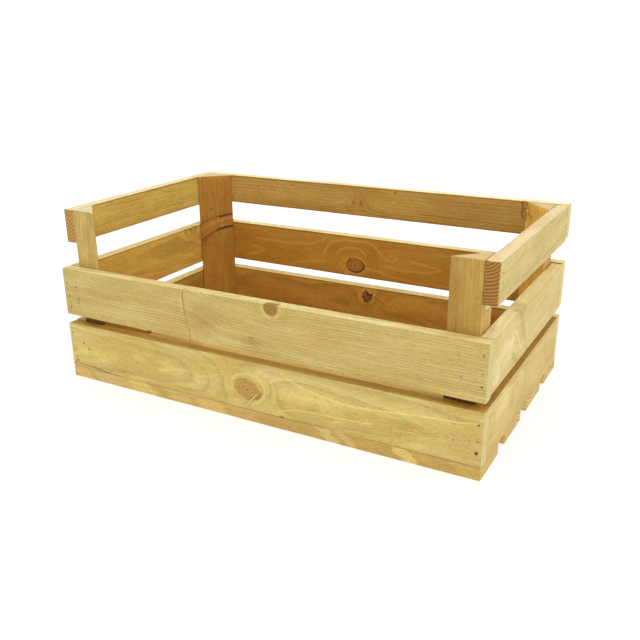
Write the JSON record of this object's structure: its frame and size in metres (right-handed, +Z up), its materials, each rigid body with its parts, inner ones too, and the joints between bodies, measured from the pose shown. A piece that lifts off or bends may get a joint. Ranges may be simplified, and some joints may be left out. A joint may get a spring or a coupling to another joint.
{
  "type": "wooden apple crate",
  "caption": "Open rectangular slatted softwood crate with a lowered front, top rails on the back and both ends, three-cornered corner posts and a slatted floor.",
  "frame": {"origin": "on the ground, at the middle of the base", "axes": "+X along the crate's length, to the right as seen from the front; -Y towards the lowered front; +Z up"},
  "size_m": [0.6, 0.348, 0.243],
  "materials": {
    "wall_wood": "planed softwood with a thin honey-coloured preservative, matt to satin",
    "floor_wood": "sawn softwood with a thin honey-coloured preservative, matt",
    "post_wood": "rough-sawn softwood with a thin honey-coloured preservative, matt",
    "nail_steel": "dulled bright steel wire nail"
  },
  "bodies": {
    "root": {"back_slat_lower": "wall_wood", "back_slat_upper": "wall_wood", "back_top_rail": "wall_wood", "floor_board_back": "floor_wood", "floor_board_front": "floor_wood", "floor_board_mid_back": "floor_wood", "floor_board_mid_front": "floor_wood", "front_slat_lower": "wall_wood", "front_slat_upper": "wall_wood", "left_slat_lower": "wall_wood", "left_slat_upper": "wall_wood", "left_top_rail": "wall_wood", "nail_front_left_lower_1": "nail_steel", "nail_front_left_lower_2": "nail_steel", "nail_front_left_lower_3": "nail_steel", "nail_front_left_lower_4": "nail_steel", "nail_front_left_upper_1": "nail_steel", "nail_front_left_upper_2": "nail_steel", "nail_front_left_upper_3": "nail_steel", "nail_front_left_upper_4": "nail_steel", "nail_front_left_upper_5": "nail_steel", "nail_front_right_lower_1": "nail_steel", "nail_front_right_lower_2": "nail_steel", "nail_front_right_lower_3": "nail_steel", "nail_front_right_lower_4": "nail_steel", "nail_front_right_lower_5": "nail_steel", "nail_front_right_upper_1": "nail_steel", "nail_front_right_upper_2": "nail_steel", "nail_front_right_upper_3": "nail_steel", "nail_front_right_upper_4": "nail_steel", "nail_front_right_upper_5": "nail_steel", "nail_right_back_lower_1": "nail_steel", "nail_right_back_lower_2": "nail_steel", "nail_right_back_rail_1": "nail_steel", "nail_right_back_rail_2": "nail_steel", "nail_right_back_upper_1": "nail_steel", "nail_right_back_upper_2": "nail_steel", "nail_right_front_lower_1": "nail_steel", "nail_right_front_lower_2": "nail_steel", "nail_right_front_rail_1": "nail_steel", "nail_right_front_rail_2": "nail_steel", "nail_right_front_upper_1": "nail_steel", "nail_right_front_upper_2": "nail_steel", "post_back_left": "post_wood", "post_back_right": "post_wood", "post_front_left": "post_wood", "post_front_right": "post_wood", "right_slat_lower": "wall_wood", "right_slat_upper": "wall_wood", "right_top_rail": "wall_wood"}
  },
  "joints": []
}
